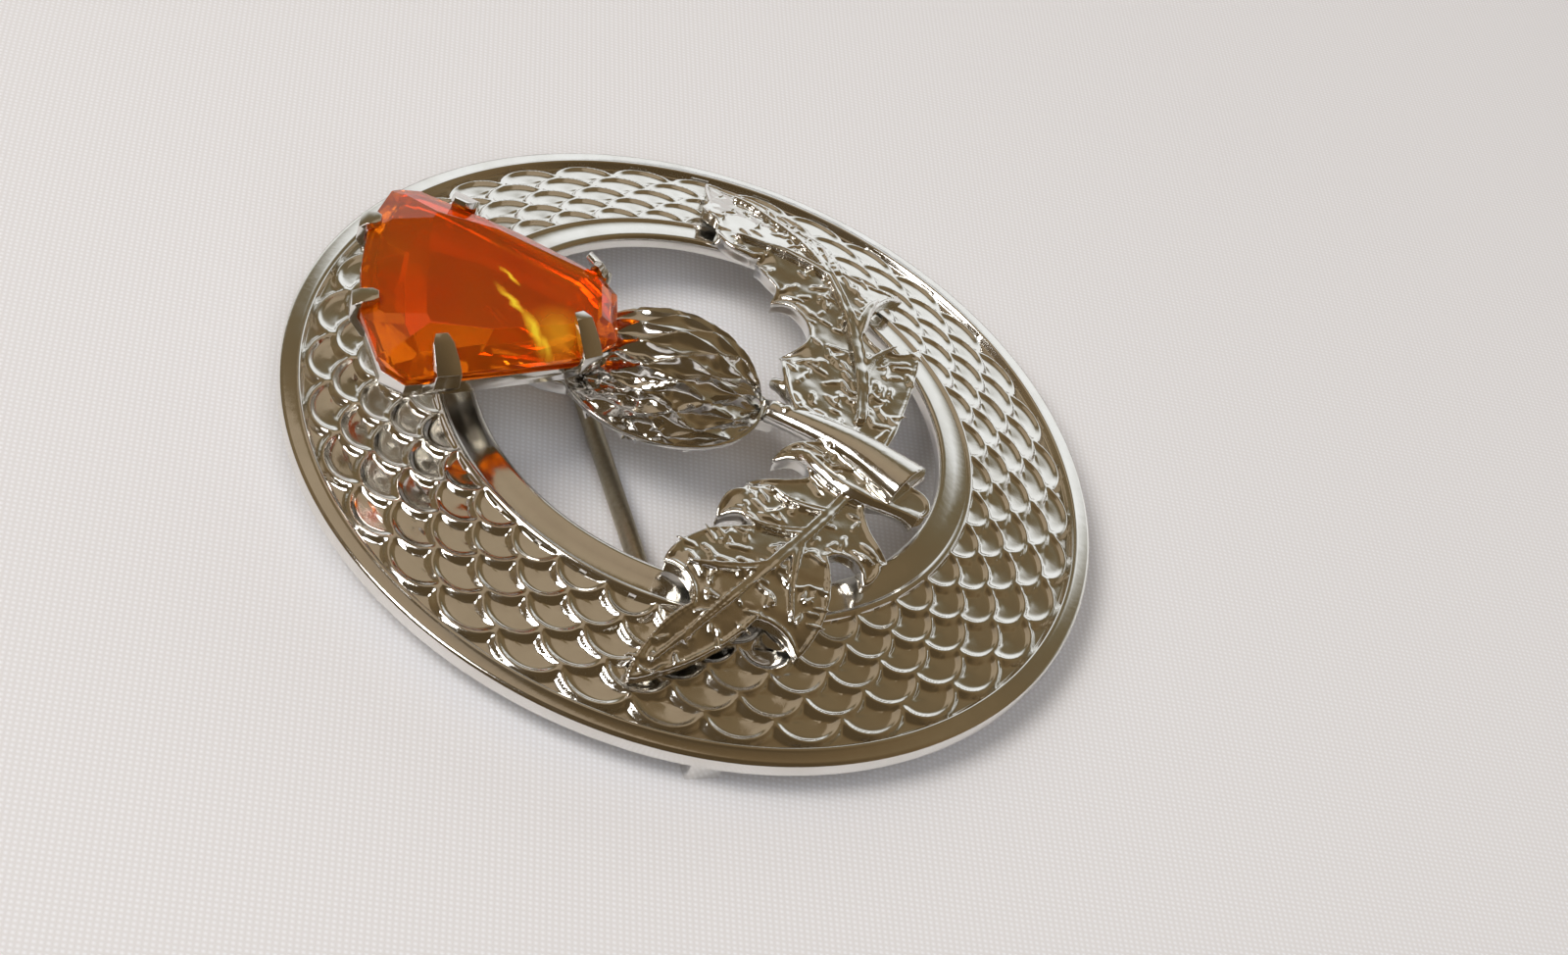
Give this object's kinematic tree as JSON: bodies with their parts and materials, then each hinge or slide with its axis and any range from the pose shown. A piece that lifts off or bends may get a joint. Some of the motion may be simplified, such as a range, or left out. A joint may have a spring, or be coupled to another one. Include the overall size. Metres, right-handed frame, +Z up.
{
  "type": "thistle brooch",
  "caption": "Round silver-coloured brooch with a scale-pattern ring, a thistle of bulb, stem and leaves, an amber fan-shaped stone in claws and a hinged pin.",
  "frame": {"origin": "middle of the ring, on the surface that the brooch rests on", "axes": "+Z up out of the brooch's face, +Y from the stem towards the stone, +X to the right seen from above"},
  "size_m": [0.054, 0.054, 0.0126],
  "materials": {
    "plated_metal": "polished",
    "amber_glass": "polished",
    "pin_steel": "satin"
  },
  "bodies": {
    "brooch": {"ring": "plated_metal", "spray": "plated_metal", "bulb": "plated_metal", "setting": "plated_metal", "stone": "amber_glass", "pin_hinge": "plated_metal", "pin_catch": "plated_metal"},
    "pin": {"pin_stem": "pin_steel"}
  },
  "joints": [
    {"name": "pin_turn", "type": "hinge", "parent": "brooch", "child": "pin", "pos_m": [0.01958, 0.01169, 0.001], "axis": [0.2487, -0.9686, 0], "range_deg": [0, 85]}
  ]
}
